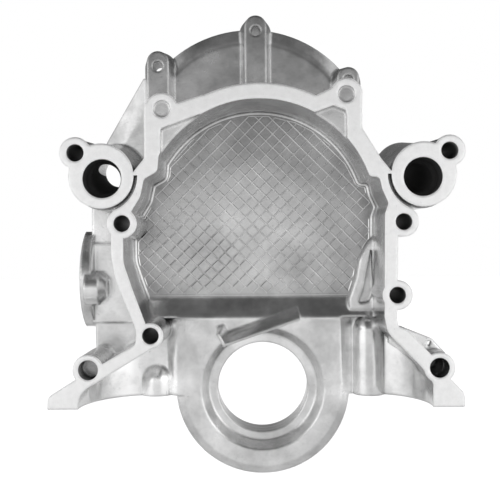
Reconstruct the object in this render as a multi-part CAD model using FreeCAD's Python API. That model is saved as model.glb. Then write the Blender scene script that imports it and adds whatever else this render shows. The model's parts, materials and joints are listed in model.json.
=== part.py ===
import FreeCAD, Part
import math
import os

# Front timing cover of a V engine, cast in one piece in aluminium.
# X is to the right and Z up as the engine side is looked at, and Y points to the front of the engine.
# The machined gasket face is the plane Y = 0, and the crankshaft turns about the Y axis.

V = FreeCAD.Vector

# Depths, measured forward from the gasket face
WALL = 5.0
CHAIN_DEPTH = 46.0
PANEL_DEPTH = 40.0
LOWER_FLOOR = 44.6
PUMP_FACE = 62.0
HUB_FACE = 70.0
FOOT_THICKNESS = 7.0
PLATE_BACK = CHAIN_DEPTH + WALL

# Chain room: its round top lies about the camshaft
CAM_X = -2.0
CAM_HEIGHT = 109.5
ROOM_RADIUS = 70.2
RIBBON_RADIUS = 79.6
FLOOR_ROUND = 1.8
LEDGE_TOP = 57.5
LEDGE_FOOT = 44.5
LEDGE_ROUND = 6.0

# Oil pan rail, and the curved lower walls that sweep back to its two feet
PAN_RAIL = -6.5
RAIL_HEIGHT = 8.0
RAIL_REACH = 8.0
LEFT_FOOT = -111.8
LEFT_CURVE = -68.8
RIGHT_FOOT = 102.0
RIGHT_CURVE = 63.0
RECESS_LEFT = -55.0
RECESS_RIGHT = 51.0
RECESS_SLOPE = 9.0

# Crankshaft seal bore and the half drum that the oil pan seal fits round
SEAL_BORE = 59.0
SEAL_LIP = 4.0
SEAL_RECESS = 61.5
SEAL_RING = 70.0
SHOULDER = 81.0
RING_STEP = 5.5
DRUM = 114.0
DRUM_EDGE = 5.5
DRUM_STEP = 1.4
DRUM_RIM = 5.0
NOTCH_RISE = 5.5
SEAL_HOUSING = 78.0
HUB_WEB_COUNT = 6
WEB = 4.0
WEB_DEPTH = 5.0

# Water ports and the ears beside them: mirrored about the crankshaft plane
PORT_X = 96.4
PORT_Z = CAM_HEIGHT + 22.5
PORT_BORE = 23.4
PORT_MOUTH = 12.0
PORT_RISE = 9.6
PORT_FLANGE = 39.2
FLANGE_X = PORT_X + 0.7
FLANGE_Z = PORT_Z + 1.6
MOUTH_LAP = 3.0
PASSAGE = 18.6
PORT_TUBE = 39.0
OUTLET_X = 85.0
OUTLET_Z = PORT_Z + 6.5
OUTLET_TUBE = 31.0
SLOT = 2.3
SLOT_DEPTH = 5.0
EAR_X = 112.5
EAR_Z = PORT_Z + 15.6
EAR = 19.0
EAR_HOLE = 10.4

# Bolt and dowel holes in the gasket face, as places (x, z)
BOLT_HOLE = 10.0
BOSS = 18.0
UPPER_BOLT = (84.7, CAM_HEIGHT - 4.5)
LEFT_BOLT = (-68.0, 37.4)
LEFT_BOLT_BOSS = 15.6
RIGHT_BOLT = (80.6, 60.9)
DOWEL = (105.6, 17.1)
DOWEL_HOLE = 12.0
DOWEL_DEPTH = 12.0
DOWEL_BOTTOM = 30.0
DOWEL_BOSS = 18.6
LEFT_DOWEL_DEPTH = 36.0
RIGHT_DOWEL_DEPTH = 44.0

# Shallow discs as cast in the two upper bosses
DISC_LEFT = (-60.3, CAM_HEIGHT + 64.3)
DISC_RIGHT = (50.8, CAM_HEIGHT + 72.5)
DISC = 10.4
DISC_BOSS = 19.2
DISC_DEPTH = 1.2
POCKET_DEPTH = 5.0

# Pump bolt lugs at the top: place, then hole, tip and foot in the ribbon as heights over the camshaft
LUGS = ((-67.1, 99.0, 108.9, 62.5), (-3.3, 121.7, 131.7, 76.0), (56.9, 89.4, 97.7, 68.5))
LUG_WIDTH = 14.0
LUG_HOLE = 6.4
LUG_FACE = 38.0
LUG_DRAFT = 3.6
LUG_FLAT = 0.05

# Pump plate: a round top with straight sides, and a rim that slopes back from the gasket side
PLATE_X = -6.8
PLATE_Z = CAM_HEIGHT + 46.2
PLATE_RADIUS = 81.2
PLATE_FIRST = 40.0
PLATE_LAST = 141.0
PLATE_EASE = 5.0
PLATE_FOOT = CAM_HEIGHT - 25.5
PLATE_SIDE = -112.0
PLATE_SHOULDER = (-79.0, CAM_HEIGHT + 95.0)
PLATE_HIP = (-103.1, CAM_HEIGHT + 53.3)
PLATE_FLANK = (PLATE_SIDE, CAM_HEIGHT + 35.0)
RIM = 12.0
RIM_FALL = 5.0
PUMP_LAND = 9.0
PUMP_POCKET = 6.0
RIB_TOP = PUMP_FACE - 4.0

# Blank fuel pump pad on the left side, with its bolt boss
PAD_FACE = -117.0
PAD_THICKNESS = 7.0
PAD_TOP = 101.5
PAD_FOOT = 38.5
PAD_NEAR = 29.0
PAD_ENDS = 50.0
PAD_TAPER = 3.0
PAD_BOSS = 22.0
PAD_BOSS_START = PAD_FACE + 3.0
PAD_BOSS_LENGTH = 13.5
PAD_BOSS_ROUND = 4.5
PAD_BOSS_Z = 64.5
PAD_BOSS_DEPTH = 36.0

# Step beside the chain room's floor, and the thin rib that leads oil on the lower floor
STEP_DEPTH = 41.0
STEP_POCKET = 2.5
RIB_EDGE = 6.0

# Fine crossed ribs on the chain room's floor: one crossing, distance between ribs, height and slope's width
HATCH_X = -10.7
HATCH_Z = CAM_HEIGHT + 5.4
HATCH_PITCH = 6.5
HATCH_HEIGHT = 0.4
HATCH_SLOPE = 0.55
HATCH_SINK = 0.05
HATCH_MARGIN = 0.5

# Columns for the pan bolts, upright at the two ends of the lower floor
COLUMN_X = 70.0
RIGHT_COLUMN = 21.0
RIGHT_COLUMN_TOP = LEDGE_FOOT + 1.5
RIGHT_COLUMN_SINK = 1.0
LEFT_COLUMN = 24.0
LEFT_COLUMN_TOP = 15.0
LEFT_COLUMN_SINK = 6.0
PAN_BOLT = 6.4
PAN_BOLT_DEPTH = 16.0

# The crankshaft's centre lies this far below the level that all heights are taken from
CRANK_DROP = 1.7

# Web behind the right arm
WEB_NEAR = 16.0
WEB_FAR = 20.0

# How far a cutting shape stands clear of what it cuts, and the smallest rounding that is made
OVER = 1.0
LEAST_ROUND = 0.3


def rounded(corners, grow=0.0):
    """Flat face in the plane Y = 0 from corners (x, z, radius), moved out by grow."""
    count = len(corners)
    area = sum(corners[i][0] * corners[(i + 1) % count][1] - corners[(i + 1) % count][0] * corners[i][1]
               for i in range(count))
    turn = 1.0 if area > 0 else -1.0
    sides = []
    for i in range(count):
        a = V(corners[i][0], 0, corners[i][1])
        b = V(corners[(i + 1) % count][0], 0, corners[(i + 1) % count][1])
        along = (b - a).normalize()
        out = V(along.z, 0, -along.x) * turn
        sides.append((a + out * grow, along))
    edges = []
    ends = []
    for i in range(count):
        a, u = sides[i - 1]
        b, w = sides[i]
        cross = u.x * w.z - u.z * w.x
        point = a + u * (((b.x - a.x) * w.z - (b.z - a.z) * w.x) / cross)
        radius = corners[i][2]
        if radius > 0:
            radius = max(radius + grow * (1 if cross * turn > 0 else -1), LEAST_ROUND)
        half = u.getAngle(w) / 2
        reach = radius * math.tan(half)
        start = point - u * reach
        end = point + w * reach
        ends.append((start, end))
        if radius > 0:
            middle = point + (w - u).normalize() * (radius / math.cos(half) - radius)
            edges.append(Part.Arc(start, middle, end).toShape())
        else:
            edges.append(None)
    pieces = []
    for i in range(count):
        if edges[i] is not None:
            pieces.append(edges[i])
        start = ends[i][1]
        end = ends[(i + 1) % count][0]
        if (end - start).Length > 1e-4:
            pieces.append(Part.LineSegment(start, end).toShape())
    return Part.Face(Part.Wire(pieces))


def crown(x, z, radius, first, last, count):
    """Corners whose rounding makes one large arc, from one angle in degrees to another."""
    half = math.radians(last - first) / count / 2
    reach = radius / math.cos(half)
    corners = []
    for i in range(count):
        middle = math.radians(first) + half * (2 * i + 1)
        corners.append((x + reach * math.cos(middle), z + reach * math.sin(middle), radius))
    return corners


def disc(x, z, diameter):
    """Flat round face in the plane Y = 0."""
    return Part.Face(Part.Wire(Part.makeCircle(diameter / 2, V(x, 0, z), V(0, 1, 0))))


def merged(faces):
    """One flat face from several that overlap."""
    return faces[0].fuse(faces[1:]).removeSplitter().Faces[0]


def raised(face, near, far):
    """Solid from a flat face, between two depths."""
    solid = face.extrude(V(0, far - near, 0))
    solid.translate(V(0, near, 0))
    if solid.Volume < 0:
        solid.reverse()
    return solid


def rod(x, z, diameter, near, far, far_diameter=None):
    """Round bar along Y, or a cone where the far end has its own diameter."""
    if far_diameter is None:
        return Part.makeCylinder(diameter / 2, far - near, V(x, near, z), V(0, 1, 0))
    return Part.makeCone(diameter / 2, far_diameter / 2, far - near, V(x, near, z), V(0, 1, 0))


def stacked(corners, levels):
    """Solid through one outline at several levels (depth, grow)."""
    wires = []
    for depth, grow in levels:
        wire = rounded(corners, grow).OuterWire
        wire.translate(V(0, depth, 0))
        wires.append(wire)
    return Part.makeLoft(wires, True, True)


def mirrored(point):
    """The same place on the other side of the crankshaft plane."""
    return (-point[0], point[1])


def ribbon_outline():
    """Outer edge of the gasket face, with its bosses."""
    corners = [
        (-130.3, PAN_RAIL, 1.0), (-129.8, 0.9, 4.0), (-112.0, 12.0, 0), (-103.0, 17.4, 0),
        (-77.0, 32.1, 3.0), (-76.3, 40.5, 12.0), (-88.6, 70.5, 45.0), (-91.2, 86.0, 15.0),
        (-91.2, CAM_HEIGHT - 5.5, 0), (-90.0, CAM_HEIGHT + 2.5, 0), (-97.1, CAM_HEIGHT + 24.1, 0),
        (-77.5, CAM_HEIGHT + 26.5, 0), (-71.0, CAM_HEIGHT + 34.7, 2.0), (-70.9, CAM_HEIGHT + 68.0, 3.0),
        (-60.3, CAM_HEIGHT + 70.5, 0), (-51.6, CAM_HEIGHT + 67.6, 1.0), (-36.0, CAM_HEIGHT + 72.5, 0),
        (-20.0, CAM_HEIGHT + 60.5, 0), (20.0, CAM_HEIGHT + 60.5, 0), (33.0, CAM_HEIGHT + 72.1, 1.0),
        (42.5, CAM_HEIGHT + 76.5, 0), (50.8, CAM_HEIGHT + 72.5, 0), (60.2, CAM_HEIGHT + 70.5, 1.0),
        (60.0, CAM_HEIGHT + 52.0, 4.0), (71.2, CAM_HEIGHT + 33.7, 2.0), (77.2, CAM_HEIGHT + 26.3, 0),
        (97.1, CAM_HEIGHT + 24.1, 0), (90.5, CAM_HEIGHT + 2.0, 0),
        (81.2, CAM_HEIGHT - 12.5, 0), (80.2, 46.0, 5.0), (81.0, 42.0, 2.0), (86.0, 40.2, 1.5),
        (101.5, 24.0, 0), (105.6, 17.1, 0), (112.5, 10.0, 0), (119.6, 2.6, 3.0),
        (120.6, -0.5, 1.0), (120.6, PAN_RAIL, 1.0),
    ]
    band = rounded([(-36, CAM_HEIGHT + 40.5, 0), (33, CAM_HEIGHT + 40.5, 0),
                    (33, CAM_HEIGHT + 90.5, 0), (-36, CAM_HEIGHT + 90.5, 0)])
    top = disc(CAM_X, CAM_HEIGHT, 2 * RIBBON_RADIUS).common(band)
    return merged([
        rounded(corners), top.Faces[0],
        disc(*mirrored(UPPER_BOLT), BOSS), disc(*UPPER_BOLT, BOSS),
        disc(*LEFT_BOLT, LEFT_BOLT_BOSS), disc(*RIGHT_BOLT, BOSS),
        disc(*DOWEL, DOWEL_BOSS), disc(*mirrored(DOWEL), DOWEL_BOSS),
        disc(*DISC_LEFT, DISC_BOSS), disc(*DISC_RIGHT, DISC_BOSS),
        disc(-FLANGE_X, FLANGE_Z, PORT_FLANGE), disc(FLANGE_X, FLANGE_Z, PORT_FLANGE),
        disc(-EAR_X, EAR_Z, EAR), disc(EAR_X, EAR_Z, EAR),
    ])


def room_corners():
    """Deep chain room at the gasket face, open below where the pan closes it."""
    below = PAN_RAIL - 20
    return crown(CAM_X, CAM_HEIGHT, ROOM_RADIUS, 21.4, 146.0, 2) + [
        (-62.4, CAM_HEIGHT + 36.0, 3.0), (-63.2, CAM_HEIGHT + 26.7, 4.0), (-71.3, CAM_HEIGHT + 22.1, 3.0),
        (-73.6, CAM_HEIGHT + 11.5, 10.0), (-79.2, CAM_HEIGHT + 2.3, 3.0), (-84.0, CAM_HEIGHT - 12.5, 6.0),
        (-84.0, 81.5, 20.0), (-78.3, 64.6, 30.0),
        (-71.4, 46.0, 5.0), (-65.0, 30.9, 3.0), (LEFT_FOOT, 2.8, 14.0), (LEFT_FOOT, below, 0),
        (RIGHT_FOOT, below, 0), (RIGHT_FOOT, 8.0, 10.0), (94.0, 18.4, 20.0), (74.8, 38.0, 10.0),
        (72.7, 48.3, 10.0), (73.4, CAM_HEIGHT + 0.5, 4.0), (75.6, CAM_HEIGHT + 6.8, 3.0),
        (71.9, CAM_HEIGHT + 15.0, 6.0), (70.3, CAM_HEIGHT + 22.5, 3.0), (64.5, CAM_HEIGHT + 22.8, 2.5),
    ]


def sweep(side):
    """Middle and radius of the curved lower wall on one side, as seen from above."""
    edge, middle = (LEFT_FOOT, LEFT_CURVE) if side < 0 else (RIGHT_FOOT, RIGHT_CURVE)
    radius = abs(edge - middle)
    return V(middle, LOWER_FLOOR - radius, PAN_RAIL), radius


def side_box(middle, side, near, far, foot, top):
    """Box from the middle of a sweep outwards."""
    length = DRUM
    return Part.makeBox(length, far - near, top - foot, V(min(middle, middle + side * length), near, foot))


def beyond_sweep(side, extra, near):
    """Space outside the curved lower wall on one side, from a depth onwards."""
    centre, radius = sweep(side)
    box = side_box(centre.x, side, near, PUMP_FACE + OVER, PAN_RAIL - WALL, LEDGE_FOOT - extra)
    return box.cut(Part.makeCylinder(radius + extra, CAM_HEIGHT, centre - V(0, 0, WALL)))


def room():
    """Space inside the cover round its bosses: the deep chain room, the ledge and the curved lower floor."""
    corners = room_corners()
    wall_end = CHAIN_DEPTH - FLOOR_ROUND
    bend = FLOOR_ROUND * (1 - math.sqrt(0.5))
    inside = raised(rounded(corners), -OVER, wall_end).fuse(
        stacked(corners, [(wall_end, 0.0), (CHAIN_DEPTH - bend, -bend), (CHAIN_DEPTH, -FLOOR_ROUND)]))
    top = CAM_HEIGHT + RIBBON_RADIUS
    side = rounded([(-2 * OVER, -top, 0), (PANEL_DEPTH, -top, 0), (PANEL_DEPTH, LEDGE_FOOT, LEDGE_ROUND),
                    (CHAIN_DEPTH, LEDGE_TOP, LEDGE_ROUND), (CHAIN_DEPTH, top, 0), (-2 * OVER, top, 0)])
    side.rotate(V(0, 0, 0), V(0, 0, 1), 90)
    side.translate(V(-top, 0, 0))
    space = inside.common(side.extrude(V(2 * top, 0, 0)))
    straight = raised(rounded(corners), -OVER, LOWER_FLOOR)
    lower = Part.makeBox(2 * top, LOWER_FLOOR, top + LEDGE_FOOT, V(-top, WALL, -top))
    middle = Part.Face(Part.makePolygon([
        V(RECESS_LEFT, PANEL_DEPTH, -top), V(RECESS_LEFT - RECESS_SLOPE, LOWER_FLOOR + OVER, -top),
        V(RECESS_RIGHT + RECESS_SLOPE, LOWER_FLOOR + OVER, -top), V(RECESS_RIGHT, PANEL_DEPTH, -top),
        V(RECESS_LEFT, PANEL_DEPTH, -top)])).extrude(V(0, 0, 2 * top))
    space = space.fuse(straight.common(lower).cut(middle))
    return space.cut([beyond_sweep(-1, 0, -OVER), beyond_sweep(1, 0, -OVER)] + bosses())


def outer_case():
    """The solid casting before it is hollowed, with its lower walls curved back to the feet."""
    case = raised(ribbon_outline(), 0, PLATE_BACK)
    case = case.cut([beyond_sweep(-1, WALL, FOOT_THICKNESS), beyond_sweep(1, WALL, FOOT_THICKNESS)])
    top = LEDGE_FOOT - WALL / 2
    recess = [(RECESS_LEFT, -DRUM, 0), (RECESS_LEFT, top, LEDGE_ROUND), (RECESS_RIGHT, top, LEDGE_ROUND),
              (RECESS_RIGHT, -DRUM, 0)]
    return case.cut(raised(rounded(recess), PANEL_DEPTH + WALL, PUMP_FACE))


def pan_rail():
    """Flange along the bottom that the oil pan is bolted to."""
    parts = []
    for side in (-1, 1):
        centre, radius = sweep(side)
        ring = Part.makeCylinder(radius + WALL + RAIL_REACH, RAIL_HEIGHT, centre)
        ring = ring.cut(Part.makeCylinder(radius, RAIL_HEIGHT, centre))
        parts.append(ring.common(side_box(centre.x, side, OVER, PUMP_FACE, PAN_RAIL, CAM_HEIGHT)))
        parts.append(Part.makeBox(abs(centre.x), WALL + RAIL_REACH, RAIL_HEIGHT,
                                  V(min(centre.x, 0), LOWER_FLOOR, PAN_RAIL)))
    return parts


def drum():
    """Round hub: its lower half carries the oil pan seal, its middle holds the crankshaft seal."""
    outer = DRUM / 2
    corners = [(0, 0), (outer - DRUM_EDGE, 0), (outer - DRUM_EDGE + DRUM_STEP, DRUM_STEP),
               (outer - DRUM_STEP, 2 * DRUM_STEP), (outer, 4 * DRUM_STEP), (outer, PUMP_FACE - PANEL_DEPTH),
               (0, PUMP_FACE - PANEL_DEPTH), (0, 0)]
    profile = Part.Face(Part.makePolygon([V(x, PANEL_DEPTH + y, 0) for x, y in corners]))
    back = PANEL_DEPTH + WALL
    groove = rod(0, 0, DRUM - 2 * DRUM_RIM, back, PUMP_FACE)
    groove = groove.cut(rod(0, 0, SEAL_HOUSING, back, PUMP_FACE))
    groove = groove.cut(webs(0, HUB_WEB_COUNT, outer, back, PUMP_FACE - WEB_DEPTH))
    whole = profile.revolve(V(0, 0, 0), V(0, 1, 0), 360).cut(groove)
    lower = Part.makeBox(2 * DRUM, PUMP_FACE, DRUM, V(-DRUM, 0, PAN_RAIL + CRANK_DROP + NOTCH_RISE - DRUM))
    return whole.common(lower).fuse(rod(0, 0, SEAL_HOUSING, PANEL_DEPTH, HUB_FACE))


def seal_holes():
    """Bore for the crankshaft seal, wider towards the front, and the sloped ring round it."""
    return [
        rod(0, 0, SEAL_BORE, PANEL_DEPTH - OVER, HUB_FACE + OVER),
        rod(0, 0, SEAL_RECESS, PANEL_DEPTH + RING_STEP + SEAL_LIP, HUB_FACE + OVER),
        rod(0, 0, SHOULDER, PANEL_DEPTH, PANEL_DEPTH + RING_STEP, SEAL_RING),
        rod(0, 0, SHOULDER, PANEL_DEPTH / 2, PANEL_DEPTH),
    ]


def lowered(solids):
    """The same solids, moved down from the level of heights to the crankshaft's centre."""
    for solid in solids:
        solid.translate(V(0, 0, -CRANK_DROP))
    return solids


def webs(first, count, length, near, far):
    """Thin webs spread over half a turn about the crankshaft, downwards from 0 and upwards from 180."""
    parts = []
    for i in range(count + 1):
        web = Part.makeBox(length, far - near, WEB, V(0, near, -WEB / 2))
        web.rotate(V(0, 0, 0), V(0, 1, 0), first + 180.0 * i / count)
        parts.append(web)
    return parts


def front_ribs(inside):
    """Ribs on the front, from the seal housing up to the pump plate, outside the room."""
    back = PANEL_DEPTH + WALL - OVER
    reach = CAM_HEIGHT
    box = Part.makeBox(RECESS_RIGHT - RECESS_LEFT, PUMP_FACE, PLATE_FOOT - SEAL_BORE / 2 + PUMP_LAND,
                       V(RECESS_LEFT, 0, SEAL_BORE / 2))
    return [web.common(box).cut(inside) for web in webs(180, HUB_WEB_COUNT, reach, back, RIB_TOP)[1:-1]]


def port_body(side):
    """Tube that leads from a water port to the front, and the ear beside it."""
    way = V(0, PUMP_FACE, PORT_RISE)
    keep = Part.makeBox(2 * DRUM, PUMP_FACE - RIB_EDGE, 2 * DRUM, V(side * PORT_X - DRUM, RIB_EDGE, 0))
    tube = Part.makeCylinder(PORT_TUBE / 2, 2 * way.Length, V(side * PORT_X, 0, PORT_Z) - way * 0.5, way)
    parts = [tube.common(keep)]
    if side > 0:
        start, turned = passage(side)
        outlet = Part.makeCylinder(OUTLET_TUBE / 2, 2 * turned.Length, start, turned)
        parts.append(outlet.common(keep))
    parts.append(rod(side * EAR_X, EAR_Z, EAR, RIB_EDGE, PUMP_FACE))
    inner = (side * (PORT_X - 2.0), PORT_Z + PORT_FLANGE / 2)
    tip = (side * (EAR_X - 1.0), EAR_Z + EAR / 2 - 0.5)
    link = rounded([(*inner, 0), (*tip, 0), (side * EAR_X, EAR_Z - EAR / 4, 0), (side * PORT_X, PORT_Z, 0)])
    parts.append(raised(link, RIB_EDGE, PUMP_FACE - RIB_EDGE))
    return parts


def passage(side):
    """Start and way of a water passage: straight through on the left, turned inwards on the right."""
    start = V(side * PORT_X, PORT_MOUTH - MOUTH_LAP, PORT_Z)
    end = V(OUTLET_X, PUMP_FACE, OUTLET_Z) if side > 0 else V(-PORT_X, PUMP_FACE, PORT_Z + PORT_RISE)
    return start, end - start


def port_holes(side):
    """Bore of a water port, straight at its mouth and then slanted to its outlet."""
    mouth = rod(side * PORT_X, PORT_Z, PORT_BORE, -OVER, PORT_MOUTH)
    start, way = passage(side)
    slanted = Part.makeCylinder(PASSAGE / 2, way.Length + WALL, start, way)
    ear = rod(side * EAR_X, EAR_Z, EAR_HOLE, -OVER, PUMP_FACE + OVER)
    return [mouth, slanted, ear]


def plate_corners():
    """Outline of the pump plate: one large arc on top, and straight sides that leave it without a bend."""
    peak = crown(PLATE_X, PLATE_Z, PLATE_RADIUS, PLATE_FIRST, PLATE_LAST, 1)[0]
    return [
        peak, plate_side(PLATE_LAST, -OVER), (*PLATE_SHOULDER, 0), (*PLATE_HIP, 0), (*PLATE_FLANK, 0),
        (PLATE_SIDE, CAM_HEIGHT - 9.5, 0), (-80.0, PLATE_FOOT, 0), (78.0, PLATE_FOOT, 0),
        (82.0, CAM_HEIGHT + 10.5, 0), (66.0, CAM_HEIGHT + 40.5, 0), plate_side(PLATE_FIRST, PLATE_EASE),
    ]


def plate_side(angle, length):
    """Corner that ends a straight side of the pump plate, from the end of its large arc."""
    turn = math.radians(angle)
    return (PLATE_X + PLATE_RADIUS * math.cos(turn) + length * math.sin(turn),
            PLATE_Z + PLATE_RADIUS * math.sin(turn) - length * math.cos(turn), 0)


def pump_plate():
    """Plate with a rim that slopes back from the gasket side."""
    edge = PLATE_BACK + RIM_FALL
    outline = rounded(plate_corners())
    cone = rod(PLATE_X, PLATE_Z, 2 * (PLATE_RADIUS - RIM), PLATE_BACK, edge, 2 * PLATE_RADIUS)
    slope = [(-50.0, CAM_HEIGHT + 95.0, 0), (*PLATE_SHOULDER, 0), (*PLATE_HIP, 0), (*PLATE_FLANK, 0),
             (PLATE_SIDE, CAM_HEIGHT - 9.5, 0), (-50.0, PLATE_FOOT, 0)]
    flat = rounded([(-62.0, PLATE_FOOT, 0), (-62.0, CAM_HEIGHT + 80.5, 0), (52.0, CAM_HEIGHT + 78.5, 0),
                    (64.0, CAM_HEIGHT + 40.5, 0), (80.0, CAM_HEIGHT + 10.5, 0), (76.0, PLATE_FOOT, 0)])
    return [raised(outline, edge, PUMP_FACE), cone.common(raised(outline, PLATE_BACK, PUMP_FACE)),
            stacked(slope, [(PLATE_BACK, -RIM), (edge, 0)]), raised(flat, PLATE_BACK, edge)]


def front_hollow():
    """Hollow in the pump face, leaving a land round its edge, the outlets and the bolt bosses."""
    floor = PUMP_FACE - PUMP_POCKET
    corners = plate_corners()
    hollow = raised(rounded(corners, -PUMP_LAND), floor, PUMP_FACE + OVER)
    deep = raised(rounded(corners, -PUMP_LAND), PLATE_BACK, floor + OVER)
    deep = deep.common(rod(CAM_X, CAM_HEIGHT, 2 * (ROOM_RADIUS - WALL), 0, PUMP_FACE))
    keep = [rod(x, hole, LUG_WIDTH + 2 * LUG_DRAFT, 0, PUMP_FACE + OVER) for x, hole in lug_holes()]
    for side in (-1, 1):
        keep.append(rod(side * UPPER_BOLT[0], UPPER_BOLT[1], BOSS, 0, PUMP_FACE + OVER))
        start, way = passage(side)
        end = start + way
        keep.append(rod(end.x, end.z, PASSAGE + PUMP_LAND, 0, PUMP_FACE + OVER))
    middle = Part.makeBox(WEB, PUMP_FACE, 2 * PLATE_RADIUS, V(PLATE_X - WEB / 2, 0, PLATE_Z - PLATE_RADIUS))
    cross = Part.makeBox(2 * PLATE_RADIUS, PUMP_FACE, WEB, V(PLATE_X - PLATE_RADIUS, 0, PLATE_Z - WEB / 2))
    ribs = middle.fuse(cross).common(Part.makeBox(4 * DRUM, RIB_TOP, 4 * DRUM, V(-2 * DRUM, 0, 0)))
    return hollow.fuse(deep).cut(keep + [ribs])


def lug_holes():
    """Places of the holes in the pump bolt lugs."""
    return [(x, CAM_HEIGHT + hole) for x, hole, tip, foot in LUGS]


def lug(x, tip, foot):
    """Bolt lug, a tapered bar from the ribbon up to its rounded tip."""
    half = LUG_WIDTH / 2
    bend = half - LUG_FLAT
    top = CAM_HEIGHT + tip
    low = CAM_HEIGHT + foot
    corners = [(x - half, low, 0), (x - half, top, bend), (x + half, top, bend), (x + half, low, 0)]
    return stacked(corners, [(LUG_FACE, 0), (PLATE_BACK + RIM_FALL, LUG_DRAFT)])


def drip_rib():
    """Thin rib on the lower floor that leads oil, with a short turned end."""
    near = [(-24.5, 29.6), (22.5, 45.6), (22.0, 47.2), (-23.6, 31.9), (-27.0, 37.9), (-28.6, 37.2)]
    far = [(-25.0, 28.0), (24.5, 44.6), (22.5, 51.0), (-22.3, 35.5), (-25.0, 40.0), (-30.0, 38.4)]
    wires = []
    for points, depth in ((near, RIB_EDGE), (far, PANEL_DEPTH + WALL / 2)):
        closed = [V(x, depth, z) for x, z in points]
        wires.append(Part.makePolygon(closed + closed[:1]))
    return Part.makeLoft(wires, True, True)


def floor_step():
    """Raised step between the chain room's floor and its right wall, with a narrow pocket in it."""
    pocket = rounded([(70.8, 88.0, 0.4), (72.0, 88.0, 0.4), (72.5, 60.0, 3.0), (70.0, 54.0, 2.0),
                      (62.0, 52.5, 1.5), (66.0, 62.0, 9.0), (69.0, 78.0, 15.0)])
    levels = [(STEP_DEPTH, -FLOOR_ROUND), (STEP_DEPTH + FLOOR_ROUND, 0), (PLATE_BACK, 0)]
    return stacked(step_corners(), levels), raised(pocket, STEP_DEPTH - OVER, STEP_DEPTH + STEP_POCKET)


def step_corners():
    """Outline of the raised step beside the chain room's floor."""
    return [(76.0, 101.0, 0), (68.5, 92.0, 8.0), (63.0, 82.0, 8.0), (60.5, 69.0, 8.0), (56.0, 56.0, 2.0),
            (56.0, 48.0, 0), (76.0, 48.0, 0)]


def hatch_area():
    """Flat area of the chain room's floor that is ribbed, with straight edges only."""
    room_edge = rounded(room_corners(), -FLOOR_ROUND - HATCH_MARGIN)
    foot = LEDGE_TOP + LEDGE_ROUND / 2 - OVER
    reach = 2 * ROOM_RADIUS
    above = rounded([(-reach, foot, 0), (reach, foot, 0), (reach, 3 * reach, 0), (-reach, 3 * reach, 0)])
    area = room_edge.common(above).cut(rounded(step_corners(), HATCH_MARGIN))
    wire = max(area.Faces, key=lambda face: face.Area).OuterWire
    points = []
    for point in wire.discretize(Deflection=HATCH_HEIGHT):
        if not points or math.hypot(point.x - points[-1][0], point.z - points[-1][1]) > HATCH_SLOPE:
            points.append((point.x, point.z))
    if math.hypot(points[0][0] - points[-1][0], points[0][1] - points[-1][1]) < HATCH_SLOPE:
        points.pop()
    return flat_face(points, 0)


def flat_face(points, depth):
    """Flat face through points (x, z) at a depth."""
    closed = [V(x, depth, z) for x, z in points]
    return Part.Face(Part.makePolygon(closed + closed[:1]))


def clipped(area, cell):
    """The larger part of a cell that lies in a flat area, as points (x, z) in order, or nothing."""
    common = area.common(flat_face(cell, 0)).Faces
    if not common:
        return []
    wire = max(common, key=lambda face: face.Area).OuterWire
    points = [(round(vertex.X, 5), round(vertex.Z, 5)) for vertex in wire.OrderedVertexes]
    turn = sum(points[i - 1][0] * points[i][1] - points[i][0] * points[i - 1][1] for i in range(len(points)))
    return points if turn > 0 else points[::-1]


def inset(points, width):
    """An outline moved inwards by a width, or nothing where it has no room."""
    count = len(points)
    sides = []
    for i in range(count):
        a = points[i]
        b = points[(i + 1) % count]
        length = math.hypot(b[0] - a[0], b[1] - a[1])
        along = ((b[0] - a[0]) / length, (b[1] - a[1]) / length)
        sides.append((a[0] - along[1] * width, a[1] + along[0] * width, along[0], along[1]))
    moved = []
    for i in range(count):
        ax, az, ux, uz = sides[i - 1]
        bx, bz, wx, wz = sides[i]
        cross = ux * wz - uz * wx
        if abs(cross) < 1e-3:
            moved.append((bx, bz))
        else:
            reach = ((bx - ax) * wz - (bz - az) * wx) / cross
            moved.append((ax + ux * reach, az + uz * reach))
    for i in range(count):
        a = moved[i]
        b = moved[(i + 1) % count]
        if (b[0] - a[0]) * sides[i][2] + (b[1] - a[1]) * sides[i][3] < 0.05:
            return None
    return moved


def hatch():
    """Cutting shape that leaves fine crossed ribs on the chain room's floor: one pocket in every cell."""
    area = hatch_area()
    above = CHAIN_DEPTH - 2 * HATCH_SINK
    ridge = CHAIN_DEPTH + HATCH_SINK
    bottom = ridge + HATCH_HEIGHT
    half = HATCH_PITCH / math.sqrt(2)
    count = math.ceil(2 * ROOM_RADIUS / half)
    faces = []
    border = {}
    for i in range(-count, count):
        for j in range(-count + i % 2, count, 2):
            x = HATCH_X + i * half
            z = HATCH_Z + j * half
            rim = clipped(area, [(x, z), (x + half, z + half), (x, z + 2 * half), (x - half, z + half)])
            sides = len(rim)
            if sides == 0:
                continue
            base = inset(rim, HATCH_SLOPE)
            if base is None:
                faces.append(flat_face(rim, ridge))
            else:
                faces.append(flat_face(base, bottom))
            for k in range(sides):
                n = (k + 1) % sides
                if base is not None:
                    faces.append(leaning(rim[k], rim[n], ridge, base[n], base[k], bottom))
                if (rim[n], rim[k]) in border:
                    del border[(rim[n], rim[k])]
                else:
                    border[(rim[k], rim[n])] = True
    follow = dict(border.keys())
    top = [next(iter(follow))]
    while follow[top[-1]] != top[0] and len(top) <= len(follow):
        top.append(follow[top[-1]])
    faces.append(flat_face(top, above))
    for a, b in border:
        faces.append(leaning(a, b, above, b, a, ridge))
    shell = Part.makeShell(faces)
    shell.sewShape()
    solid = Part.makeSolid(shell.Shells[0])
    if solid.Volume < 0:
        solid.reverse()
    return solid


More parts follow.
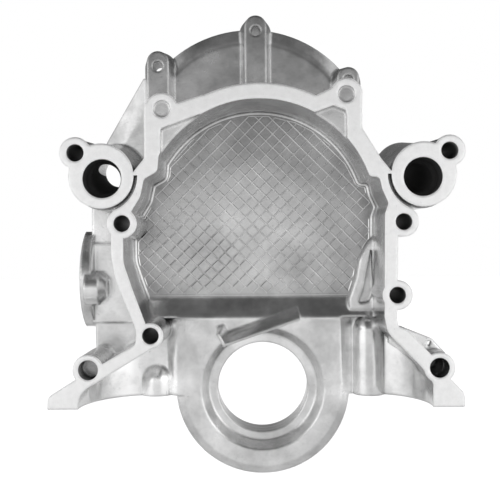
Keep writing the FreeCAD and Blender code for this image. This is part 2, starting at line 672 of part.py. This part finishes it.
def leaning(a, b, near, c, d, far):
    """Four cornered face from the edge a to b at one depth to the edge c to d at another."""
    corners = [V(a[0], near, a[1]), V(b[0], near, b[1]), V(c[0], far, c[1]), V(d[0], far, d[1])]
    return Part.Face(Part.makePolygon(corners + corners[:1]))


def pump_pad(inside):
    """Blank fuel pump pad on the left, with its bolt boss, and the wall outside the room that carries it."""
    wall = [(PLATE_SIDE, 145.0, 0), (PLATE_SIDE, 41.0, 1.0), (-110.0, 40.0, 1.0), (-110.0, 22.0, 1.0),
            (-95.0, 20.0, 0), (-70.0, 34.0, 0), (-70.0, 145.0, 0)]
    band = [(PLATE_SIDE, 93.5, 1.0), (PLATE_SIDE, 41.5, 1.0), (-75.0, 41.5, 0), (-75.0, 93.5, 0)]
    middle = (PAD_TOP + PAD_FOOT) / 2
    back = PUMP_FACE - 2.0
    top = V(PAD_FACE, PAD_ENDS, PAD_TOP)
    foot = V(PAD_FACE, PAD_ENDS, PAD_FOOT)
    top_back = V(PAD_FACE, back, PAD_TOP - PAD_TAPER)
    foot_back = V(PAD_FACE, back, PAD_FOOT + PAD_TAPER)
    pad = Part.Face(Part.Wire([
        Part.Arc(top, V(PAD_FACE, PAD_NEAR, middle), foot).toShape(),
        Part.makeLine(foot, foot_back),
        Part.makeLine(foot_back, top_back),
        Part.makeLine(top_back, top),
    ])).extrude(V(PAD_THICKNESS, 0, 0))
    start = V(PAD_BOSS_START, PAD_BOSS_DEPTH, PAD_BOSS_Z)
    straight = PAD_BOSS_LENGTH - PAD_BOSS_ROUND
    boss = Part.makeCylinder(PAD_BOSS / 2, straight, start, V(1, 0, 0))
    nose = Part.makeCone(PAD_BOSS / 2, PAD_BOSS / 2 - PAD_BOSS_ROUND, PAD_BOSS_ROUND,
                         start + V(straight, 0, 0), V(1, 0, 0))
    return [raised(rounded(wall), CHAIN_DEPTH - OVER, PLATE_BACK).cut(inside), pad, boss, nose,
            raised(rounded(band), CHAIN_DEPTH - 4 * OVER, PLATE_BACK).cut(inside)]


def right_web():
    """Web behind the right arm, pierced by a small three cornered hole."""
    web = rounded([(78.0, 42.0, 0), (86.0, 40.5, 0), (104.5, 33.0, 2.0), (113.0, 24.0, 0),
                   (104.0, 12.0, 0), (78.0, 30.0, 0)])
    hole = rounded([(101.8, 30.8, 0.8), (104.8, 32.0, 0.8), (102.2, 24.8, 0.8)])
    return raised(web, WEB_NEAR, WEB_FAR), raised(hole, 0, PANEL_DEPTH)


def bosses():
    """Round bosses that the bolts and dowels pass through, from before the gasket face."""
    near = -2 * OVER
    return [
        rod(*mirrored(UPPER_BOLT), BOSS, near, PUMP_FACE),
        rod(*UPPER_BOLT, BOSS, near, PUMP_FACE),
        rod(*LEFT_BOLT, LEFT_BOLT_BOSS, near, PUMP_FACE),
        rod(*RIGHT_BOLT, BOSS, near, PUMP_FACE),
        rod(*mirrored(DOWEL), DOWEL_BOSS, near, LEFT_DOWEL_DEPTH),
        rod(*DOWEL, DOWEL_BOSS, near, RIGHT_DOWEL_DEPTH),
    ]


def column(x, depth, diameter, top):
    """Upright round column with a domed top, for a pan bolt."""
    half = diameter / 2
    bar = Part.makeCylinder(half, top - half - PAN_RAIL, V(x, depth, PAN_RAIL))
    return bar.fuse(Part.makeSphere(half, V(x, depth, top - half)))


def lower_columns():
    """Rounded upright columns at the two ends of the lower floor, for the pan bolts."""
    keep = Part.makeBox(4 * COLUMN_X, LOWER_FLOOR + WALL / 2, CAM_HEIGHT, V(-2 * COLUMN_X, 0, PAN_RAIL))
    right = column(COLUMN_X, LOWER_FLOOR + RIGHT_COLUMN_SINK, RIGHT_COLUMN, RIGHT_COLUMN_TOP)
    left = column(-COLUMN_X, LOWER_FLOOR + LEFT_COLUMN_SINK, LEFT_COLUMN, LEFT_COLUMN_TOP)
    return [right.common(keep), left.common(keep)]


def slots():
    """Gaps between the port flanges and the ribbon."""
    tools = []
    for side in (-1, 1):
        x = side * FLANGE_X
        z = FLANGE_Z
        ring = rod(x, z, PORT_FLANGE + 2 * SLOT, -OVER, SLOT_DEPTH).cut(
            rod(x, z, PORT_FLANGE, -OVER, SLOT_DEPTH))
        reach = PORT_FLANGE
        wedge = rounded([(x, z, 0), (x - side * reach, z + 0.5, 0), (x - side * reach, z - reach, 0),
                         (x - side * 3.0, z - reach, 0)])
        tools.append(ring.common(raised(wedge, -OVER, SLOT_DEPTH)))
    return tools


def pockets():
    """Shallow three cornered pockets beside the round top of the chain room."""
    left = [(-61.2, CAM_HEIGHT + 52.5, 1.5), (-37.5, CAM_HEIGHT + 61.0, 0), (-30.0, CAM_HEIGHT + 40.5, 0),
            (-55.0, CAM_HEIGHT + 28.5, 0), (-61.5, CAM_HEIGHT + 31.5, 0)]
    right = [(31.0, CAM_HEIGHT + 61.5, 0), (42.8, CAM_HEIGHT + 65.7, 1.5), (50.3, CAM_HEIGHT + 62.9, 1.5),
             (51.0, CAM_HEIGHT + 59.5, 1.0), (51.1, CAM_HEIGHT + 45.0, 0), (30.0, CAM_HEIGHT + 40.5, 0)]
    return [raised(rounded(left), -OVER, POCKET_DEPTH), raised(rounded(right), -OVER, POCKET_DEPTH)]


def holes():
    """Bolt and dowel holes."""
    through = PUMP_FACE + OVER
    tools = [
        rod(*DISC_LEFT, DISC, -OVER, DISC_DEPTH),
        rod(*DISC_RIGHT, DISC, -OVER, DISC_DEPTH),
        Part.makeCylinder(PAN_BOLT / 2, PAN_BOLT_DEPTH, V(COLUMN_X, LOWER_FLOOR + OVER, PAN_RAIL)),
        Part.makeCylinder(PAN_BOLT / 2, PAN_BOLT_DEPTH, V(-COLUMN_X, LOWER_FLOOR + OVER, PAN_RAIL)),
    ]
    for place in (mirrored(UPPER_BOLT), UPPER_BOLT, LEFT_BOLT, RIGHT_BOLT):
        tools.append(rod(*place, BOLT_HOLE, -OVER, through))
    for place in (mirrored(DOWEL), DOWEL):
        tools.append(rod(*place, DOWEL_HOLE, -OVER, DOWEL_DEPTH))
        tools.append(rod(*place, BOLT_HOLE, -OVER, DOWEL_BOTTOM))
    for x, hole in lug_holes():
        tools.append(rod(x, hole, LUG_HOLE, LUG_FACE - OVER, through))
    return tools


def timing_cover():
    """The whole casting."""
    step, step_pocket = floor_step()
    web, web_hole = right_web()
    inside = room()
    front = Part.makeBox(4 * DRUM, PUMP_FACE, 4 * DRUM, V(-2 * DRUM, RIB_EDGE, -DRUM))
    body = outer_case().cut(inside)
    groups = [
        [boss.common(front) for boss in bosses()], lower_columns(), pump_plate(), pump_pad(inside), pan_rail(),
        front_ribs(inside), [lug(x, tip, foot) for x, hole, tip, foot in LUGS], port_body(-1), port_body(1),
        [drip_rib(), step, web], lowered([drum()]),
    ]
    for group in groups:
        body = body.fuse(group).removeSplitter()
    body = body.cut(slots() + pockets() + holes() + port_holes(-1) + port_holes(1)
                    + [front_hollow(), step_pocket, web_hole] + lowered(seal_holes()))
    body = body.removeSplitter().cut(hatch())
    body.translate(V(0, 0, CRANK_DROP))
    return body


os.makedirs("parts", exist_ok=True)
timing_cover().exportStep("parts/timing_cover.step")
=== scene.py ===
import json
import math

import bmesh
import bpy
from mathutils import Matrix, Vector


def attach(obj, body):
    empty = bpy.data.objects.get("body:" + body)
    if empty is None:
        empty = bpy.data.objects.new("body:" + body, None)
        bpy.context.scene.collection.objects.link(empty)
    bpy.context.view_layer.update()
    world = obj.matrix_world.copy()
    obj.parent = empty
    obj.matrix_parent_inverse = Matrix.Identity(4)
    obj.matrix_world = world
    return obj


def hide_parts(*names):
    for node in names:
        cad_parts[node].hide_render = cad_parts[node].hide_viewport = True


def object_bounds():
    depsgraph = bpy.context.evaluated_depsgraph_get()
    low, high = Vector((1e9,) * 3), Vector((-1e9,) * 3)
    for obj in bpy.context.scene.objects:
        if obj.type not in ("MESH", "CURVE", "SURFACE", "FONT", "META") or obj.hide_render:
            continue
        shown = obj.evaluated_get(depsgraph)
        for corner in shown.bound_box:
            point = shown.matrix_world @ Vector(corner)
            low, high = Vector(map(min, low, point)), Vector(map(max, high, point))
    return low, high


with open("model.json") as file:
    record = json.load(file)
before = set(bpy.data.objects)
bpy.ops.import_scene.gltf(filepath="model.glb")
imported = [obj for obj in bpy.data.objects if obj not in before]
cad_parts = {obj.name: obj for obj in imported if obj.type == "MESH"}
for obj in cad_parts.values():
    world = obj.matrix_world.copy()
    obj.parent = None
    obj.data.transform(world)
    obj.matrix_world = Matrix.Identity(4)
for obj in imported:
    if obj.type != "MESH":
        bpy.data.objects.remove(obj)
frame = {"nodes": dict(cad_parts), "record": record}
cad_box = [list(corner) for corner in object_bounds()]

# The casting is the whole cover: aluminium cast in a steel die, which leaves a smooth, slightly mottled skin.
# Only the faces for the block, the pump and the seal are machined, so they are lighter and finely lined.
# Bolts hold it to the block, against a gasket, and the face that meets the gasket is the plane Y = 0.
WELD = 1e-6
FLAT_ANGLE = math.radians(0.2)
SMOOTH_ANGLE = math.radians(32)
LARGE_FACE_WEIGHT = 90

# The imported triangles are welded, merged into flat faces and shaded smooth, apart from the sharp edges.
cast = frame["nodes"]["timing_cover"].copy()
cast.name = "casting"
bpy.context.scene.collection.objects.link(cast)
shape = bmesh.new()
shape.from_mesh(cast.data)
bmesh.ops.remove_doubles(shape, verts=shape.verts, dist=WELD)
bmesh.ops.dissolve_limit(shape, angle_limit=FLAT_ANGLE, verts=shape.verts, edges=shape.edges)
mesh = bpy.data.meshes.new("casting")
shape.to_mesh(mesh)
shape.free()
mesh.attributes.remove(mesh.attributes["custom_normal"])
mesh.shade_smooth()
mesh.set_sharp_from_angle(angle=SMOOTH_ANGLE)
cast.data = mesh
even = cast.modifiers.new("even", "WEIGHTED_NORMAL")
even.keep_sharp = True
even.weight = LARGE_FACE_WEIGHT

# Places on the casting, in metres. What lies within reach of a machined face's depth is machined.
# A pair says from where to where a change of tone runs.
mounts = {mount["name"]: mount for mount in frame["record"]["mounts"]}
MILLIMETRE = 0.001
MACHINED_FACES = [mounts["gasket_face"]["pos_m"][1], mounts["pump_face"]["pos_m"][1], cad_box[1][1]]
MACHINED_REACH = 0.00012
GRID_DEPTH = 0.0464
GRID_REACH = 0.0005
CREST_DEPTH = 0.0462
CREST_REACH = 0.00013
GRID_MIDDLE = (-0.006, 0.0, 0.094)
# Where the pump plate gets painted shade on its upper, broad face and a painted highlight on its rim.
PLATE_MIDDLE = (-0.0068, 0.0, 0.1574)
RIM_START = (0.0708, 0.0728)
RIM_DEPTH = (0.0501, 0.0505)
RIM_HEIGHT = (0.16, 0.18)
PLATE_HEIGHT = (0.16, 0.2)

# Holes painted dark as shade, each with how far outside its wall the skin's own tone begins,
# and how soft that edge is.
HOLE_SHADE_EDGES = {"water_port_left": 0.0002, "water_port_right": 0.0002, "ear_holes": 0.0001,
              "upper_bolts": 0.0001, "left_bolt": 0.0001, "right_bolt": 0.0001}
HOLE_SHADE_SOFTNESS = 0.0002

# Y of a face's normal, from where it counts as facing the block or the front to where it fully does.
GRID_FACING = (-0.2, -0.3)
PLATE_FACING = (-0.1, -0.3)
FRONT_FACING = (0.2, 0.4)

# Patterns in the metal: scale, detail and roughness.
MOTTLE = (38.0, 6.0, 0.62)
CLOUD = (9.0, 3.0, 0.5)
SPECK = (220.0, 8.0, 0.7)
PITS = (480.0, 3.0, 0.6)
GRAIN = (900.0, 2.0, 0.5)
CUTTER_LINES = 260.0
CUTTER_WANDER = 2.0

# Tones: from where to where in a pattern or a distance they change, then the tone at both ends.
SKIN_TONE = (0.35, 0.68, 0.58, 0.92)
CLOUD_TONE = (0.3, 0.7, 0.92, 1.06)
# Painted shade in the grid's low cells, darker away from its middle, so the crests stand out as painted
# highlights.
GRID_SHADE_TONE = (0.02, 0.085, 0.74, 0.46)
SKIN_PIT_TONE = (0.66, 0.70, 1.0, 0.82)
MACHINED_TONE = (0.3, 0.7, 0.90, 1.0)
MACHINED_PIT_TONE = (0.68, 0.72, 1.0, 0.85)
# Painted shade in recesses, creases and bores, from how closely the casting closes round each point.
HOLLOW_SHADE_TONE = (0.08, 0.45, 0.15, 1.0)
HOLLOW_REACH = 0.02
HOLLOW_SAMPLES = 8
# Painted shade on the pump plate's broad face, and a painted highlight on its rim.
PLATE_SHADE_TONE = 0.66
RIM_HIGHLIGHT_TONE = 1.15
# Painted shade inside the ports and bolt holes, which also lose their metal gloss there.
HOLE_SHADE_TONE = 0.05

# Gloss and relief: how rough the metal is, how deep its patterns look, and how far its edges look rounded.
SKIN_ROUGHNESS = (0.3, 0.7, 0.16, 0.29)
MACHINED_ROUGHNESS = (0.54, 0.62)
HOLE_ROUGHNESS = 0.9
SKIN_RELIEF = 0.0004
SKIN_STRENGTH = 0.35
MACHINED_STRENGTH = 0.03
GRAIN_RELIEF = 0.0001
GRAIN_STRENGTH = 0.12
EDGE_ROUND = 0.0024
RIDGE_ROUND = 0.0002
EDGE_SAMPLES = 6


def empty_tree(owner):
    """Node tree of a material or world, with nothing in it yet."""
    owner.use_nodes = True
    owner.node_tree.nodes.clear()
    return owner.node_tree


def add_node(tree, kind, **settings):
    """New shader node of a kind, with its settings."""
    made = tree.nodes.new("ShaderNode" + kind)
    for name, value in settings.items():
        setattr(made, name, value)
    return made


def feed(socket, source):
    """Links an output to a socket, or writes a plain number there."""
    if isinstance(source, bpy.types.NodeSocket):
        socket.id_data.links.new(source, socket)
    else:
        socket.default_value = source


def computed(operation, *sources):
    """One step of arithmetic on outputs and numbers, of which the first is an output."""
    made = add_node(sources[0].id_data, "Math", operation=operation)
    for socket, source in zip(made.inputs, sources):
        feed(socket, source)
    return made.outputs["Value"]


def combined(operation, first, *others):
    """Any number of levels taken together by the same step, one after another."""
    for other in others:
        first = computed(operation, first, other)
    return first


def product(*levels):
    """Levels multiplied together."""
    return combined("MULTIPLY", *levels)


def spread(value, start, end, low=0.0, high=1.0, way="LINEAR"):
    """Level that goes from low to high while a value goes from start to end."""
    made = add_node(value.id_data, "MapRange", interpolation_type=way)
    feed(made.inputs["Value"], value)
    for name, level in (("From Min", start), ("From Max", end), ("To Min", low), ("To Max", high)):
        made.inputs[name].default_value = level
    return made.outputs["Result"]


def mixed(factor, first, second):
    """The first level where the factor is 0, and the second where it is 1."""
    made = add_node(factor.id_data, "Mix")
    for name, source in (("Factor", factor), ("A", first), ("B", second)):
        feed(made.inputs[name], source)
    return made.outputs["Result"]


def split(vector):
    """X, Y and Z of a vector."""
    made = add_node(vector.id_data, "SeparateXYZ")
    feed(made.inputs["Vector"], vector)
    return made.outputs["X"], made.outputs["Y"], made.outputs["Z"]


def distance(place, centre, across):
    """How far a place is from a centre, measured only along the axes that have a 1 in across."""
    for operation, amount in (("SUBTRACT", centre), ("MULTIPLY", across)):
        made = add_node(place.id_data, "VectorMath", operation=operation)
        feed(made.inputs[0], place)
        made.inputs[1].default_value = amount
        place = made.outputs["Vector"]
    made = add_node(place.id_data, "VectorMath", operation="LENGTH")
    feed(made.inputs[0], place)
    return made.outputs["Value"]


def from_axis(place, centre):
    """Distance from an axis that runs through the casting along Y."""
    return distance(place, centre, (1, 0, 1))


def noise(place, scale, detail, roughness):
    """Cloudy pattern in the metal."""
    made = add_node(place.id_data, "TexNoise")
    feed(made.inputs["Vector"], place)
    made.inputs["Scale"].default_value = scale
    made.inputs["Detail"].default_value = detail
    made.inputs["Roughness"].default_value = roughness
    return made.outputs["Fac"]


def outside_holes(place):
    """0 inside the ports and bolt holes, where shade is painted, and 1 on the rest of the casting."""
    levels = []
    for name, edge in HOLE_SHADE_EDGES.items():
        x, y, z = mounts[name]["pos_m"]
        sizes = mounts[name]["dims"]
        wall = sizes.get("r_mm", sizes.get("hole_r_mm")) * MILLIMETRE + edge
        half_spacing = sizes.get("spacing_x_mm", 0.0) * MILLIMETRE / 2
        for middle in (x - half_spacing, x + half_spacing) if half_spacing else (x,):
            levels.append(spread(from_axis(place, (middle, y, z)), wall - HOLE_SHADE_SOFTNESS, wall))
    return product(*levels)


def plate_painted_light(place, facing):
    """Painted shade on the pump plate's broad face, and a painted highlight on its sloped rim."""
    _, depth, height = split(place)
    broad = product(spread(height, *PLATE_HEIGHT), spread(facing, *PLATE_FACING))
    rim = product(spread(from_axis(place, PLATE_MIDDLE), *RIM_START), spread(depth, *RIM_DEPTH),
                  spread(height, *RIM_HEIGHT))
    return mixed(rim, mixed(broad, 1.0, PLATE_SHADE_TONE), RIM_HIGHLIGHT_TONE)


def grid_masks(depth, facing):
    """Where the chain room's floor carries the grid, and its low cells, which take painted shade."""
    grid = product(computed("COMPARE", depth, GRID_DEPTH, GRID_REACH), spread(facing, *GRID_FACING))
    cells = computed("SUBTRACT", grid, computed("COMPARE", depth, CREST_DEPTH, CREST_REACH))
    return grid, computed("MAXIMUM", cells, 0.0)


def cast_aluminium():
    """Die cast aluminium: mottled skin, lined where a cutter passed, with painted shade in its holes."""
    material = bpy.data.materials.new("cast_aluminium")
    tree = empty_tree(material)
    coordinates = add_node(tree, "TexCoord").outputs
    place = coordinates["Object"]
    _, depth, _ = split(place)
    _, facing, _ = split(coordinates["Normal"])
    faces = [computed("COMPARE", depth, face, MACHINED_REACH) for face in MACHINED_FACES]
    machined = combined("MAXIMUM", *faces)
    grid, cells = grid_masks(depth, facing)
    # Where no shade is painted: outside the holes, and on faces turned to the front.
    outside_hole_shade = computed("MAXIMUM", outside_holes(place), spread(facing, *FRONT_FACING))

    mottle = noise(place, *MOTTLE)
    pits = noise(place, *PITS)
    shade = spread(noise(place, *CLOUD), *CLOUD_TONE)
    # Painted shade in the grid's cells, darker away from the grid's middle.
    grid_painted_shade = product(shade, spread(from_axis(place, GRID_MIDDLE), *GRID_SHADE_TONE))
    # The skin's tone, with painted shade in the holes, grid cells and on the pump plate, and a painted
    # highlight on its rim.
    skin = product(spread(mottle, *SKIN_TONE), mixed(cells, shade, grid_painted_shade), mixed(outside_hole_shade, HOLE_SHADE_TONE, 1.0),
                   plate_painted_light(place, facing), spread(pits, *SKIN_PIT_TONE))
    bright = product(spread(noise(place, *SPECK), *MACHINED_TONE), spread(pits, *MACHINED_PIT_TONE))
    # Painted shade from ambient occlusion, multiplied into the tone.
    hollow_shade = add_node(tree, "AmbientOcclusion", samples=HOLLOW_SAMPLES)
    hollow_shade.inputs["Distance"].default_value = HOLLOW_REACH
    tone = product(mixed(machined, skin, bright), spread(hollow_shade.outputs["AO"], *HOLLOW_SHADE_TONE, "SMOOTHSTEP"))
    colour = add_node(tree, "CombineColor")
    for channel in ("Red", "Green", "Blue"):
        feed(colour.inputs[channel], tone)

    cutter = add_node(tree, "TexWave", wave_type="BANDS", bands_direction="X")
    cutter.inputs["Scale"].default_value = CUTTER_LINES
    cutter.inputs["Distortion"].default_value = CUTTER_WANDER
    feed(cutter.inputs["Vector"], place)
    lines = cutter.outputs["Fac"]
    rough = mixed(machined, spread(mottle, *SKIN_ROUGHNESS), mixed(lines, *MACHINED_ROUGHNESS))

    edges = add_node(tree, "Bevel", samples=EDGE_SAMPLES)
    feed(edges.inputs["Radius"], mixed(grid, EDGE_ROUND, RIDGE_ROUND))
    relief = add_node(tree, "Bump")
    relief.inputs["Distance"].default_value = SKIN_RELIEF
    feed(relief.inputs["Strength"], mixed(machined, SKIN_STRENGTH, MACHINED_STRENGTH))
    feed(relief.inputs["Height"], mixed(machined, mottle, lines))
    feed(relief.inputs["Normal"], edges.outputs["Normal"])
    grain = add_node(tree, "Bump")
    grain.inputs["Distance"].default_value = GRAIN_RELIEF
    grain.inputs["Strength"].default_value = GRAIN_STRENGTH
    feed(grain.inputs["Height"], noise(place, *GRAIN))
    feed(grain.inputs["Normal"], relief.outputs["Normal"])

    metal = add_node(tree, "BsdfPrincipled")
    feed(metal.inputs["Metallic"], outside_hole_shade)
    feed(metal.inputs["Base Color"], colour.outputs["Color"])
    feed(metal.inputs["Roughness"], mixed(outside_hole_shade, HOLE_ROUGHNESS, rough))
    feed(metal.inputs["Normal"], grain.outputs["Normal"])
    feed(add_node(tree, "OutputMaterial").inputs["Surface"], metal.outputs["BSDF"])
    return material


cast.data.materials.append(cast_aluminium())
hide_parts("timing_cover")
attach(cast, "root")

# The floor is a large sheet of pale card that lies free, a little below the part.
# It throws soft light up and looks white to the camera. In the metal it shows as a glow with a painted
# shadow of the part, which makes it dimmer close to the part.
FLOOR_DROP = 0.1
FLOOR_SIZE = 12.0
CARD_COLOUR = (0.8, 0.8, 0.8, 1)
CAMERA_GLOW = 0.85
METAL_GLOW = 0.5
PART_PAINTED_SHADOW = (0.1, 0.5, 0.5, 1.0)


def pale_floor():
    """Pale card that glows for the camera, and in the metal with a painted shadow of the part."""
    material = bpy.data.materials.new("pale_floor")
    tree = empty_tree(material)
    rays = add_node(tree, "LightPath").outputs
    place = add_node(tree, "TexCoord").outputs["Object"]
    # Painted shadow: the glow seen in the metal is dimmer near the middle, under the part.
    shade = spread(distance(place, (0, 0, 0), (1, 1, 0)), *PART_PAINTED_SHADOW)
    card = add_node(tree, "BsdfDiffuse")
    card.inputs["Color"].default_value = CARD_COLOUR
    glow = add_node(tree, "Emission")
    in_metal = product(rays["Is Glossy Ray"], shade, METAL_GLOW)
    feed(glow.inputs["Strength"], computed("ADD", in_metal, product(rays["Is Camera Ray"], CAMERA_GLOW)))
    both = add_node(tree, "AddShader")
    feed(both.inputs[0], card.outputs["BSDF"])
    feed(both.inputs[1], glow.outputs["Emission"])
    feed(add_node(tree, "OutputMaterial").inputs["Surface"], both.outputs["Shader"])
    return material


bpy.ops.mesh.primitive_plane_add(size=FLOOR_SIZE, location=(0, 0, cad_box[0][2] - FLOOR_DROP))
floor = bpy.context.active_object
floor.name = "floor"
floor.data.materials.append(pale_floor())

# The tent is white cloth round the whole stage, lit from outside, and it gives most of the light.
# It is bright at both sides and low down, dimmer overhead and beyond the part, and plain white to the camera.
# A range says between which two directions the light changes, then how bright it is at both ends.
SIDES_OUT = (0.38, 0.58, 0.0, 0.98)
SIDES_UP = (0.25, 0.75, 1.0, 0.7)
MIDDLE_UP = (0.03, 0.34, 1.02, 0.24)
MIDDLE_ENDS = (0.35, 0.75, 1.0, 0.5)
FRONT_FALL = (0.0, 0.5, 1.0, 0.55)


def tent():
    """World of soft white light that changes with the direction."""
    world = bpy.data.worlds.new("tent")
    tree = empty_tree(world)
    x, y, z = split(add_node(tree, "TexCoord").outputs["Generated"])
    sides = product(spread(computed("ABSOLUTE", x), *SIDES_OUT, "SMOOTHSTEP"),
                    spread(z, *SIDES_UP, "SMOOTHSTEP"))
    middle = product(spread(z, *MIDDLE_UP, "SMOOTHSTEP"),
                     spread(computed("ABSOLUTE", z), *MIDDLE_ENDS, "SMOOTHSTEP"))
    cloth = product(computed("MAXIMUM", sides, middle), spread(y, *FRONT_FALL, "SMOOTHSTEP"))
    back = add_node(tree, "Background")
    back.inputs["Color"].default_value = (1, 1, 1, 1)
    feed(back.inputs["Strength"], mixed(add_node(tree, "LightPath").outputs["Is Camera Ray"], cloth, 1.0))
    feed(add_node(tree, "OutputWorld").inputs["Surface"], back.outputs["Background"])
    return world


bpy.context.scene.world = tent()

# Two square soft lights stand at the left and right, on the block's side of the part.
# They face its middle and brighten what leans to either side.
LIGHT_OUT = 0.8
LIGHT_BACK = -0.65
LIGHT_HEIGHT = 0.1
LIGHT_TARGET = Vector((0, 0, 0.09))
LIGHT_SIZE = 0.9
LIGHT_POWER = 1.9

for name, side in (("left_light", -1), ("right_light", 1)):
    data = bpy.data.lights.new(name, "AREA")
    data.size = LIGHT_SIZE
    data.energy = LIGHT_POWER
    light = bpy.data.objects.new(name, data)
    light.location = (side * LIGHT_OUT, LIGHT_BACK, LIGHT_HEIGHT)
    light.rotation_euler = (LIGHT_TARGET - light.location).to_track_quat("-Z", "Y").to_euler()
    bpy.context.scene.collection.objects.link(light)

# The camera looks squarely at the block side, a little left of the crankshaft and below the camshaft.
# It stands 450 mm away, where the far edges of the ports and lugs look as small as they should.
# Half the width of what it shows is a third of that distance.
CAMERA = Vector((-0.00784, -0.45, 0.0903))
CAMERA_ROLL = math.radians(-0.4)
SENSOR_WIDTH = 36.0
HALF_VIEW = 1.0 / 3.0

data = bpy.data.cameras.new("camera")
data.sensor_width = SENSOR_WIDTH
data.lens = SENSOR_WIDTH / 2 / HALF_VIEW
camera = bpy.data.objects.new("camera", data)
camera.matrix_world = (Matrix.Translation(CAMERA) @ Matrix.Rotation(math.radians(90), 4, "X")
                       @ Matrix.Rotation(CAMERA_ROLL, 4, "Z"))
bpy.context.scene.collection.objects.link(camera)
bpy.context.scene.camera = camera

bpy.context.scene.view_settings.view_transform = "Standard"
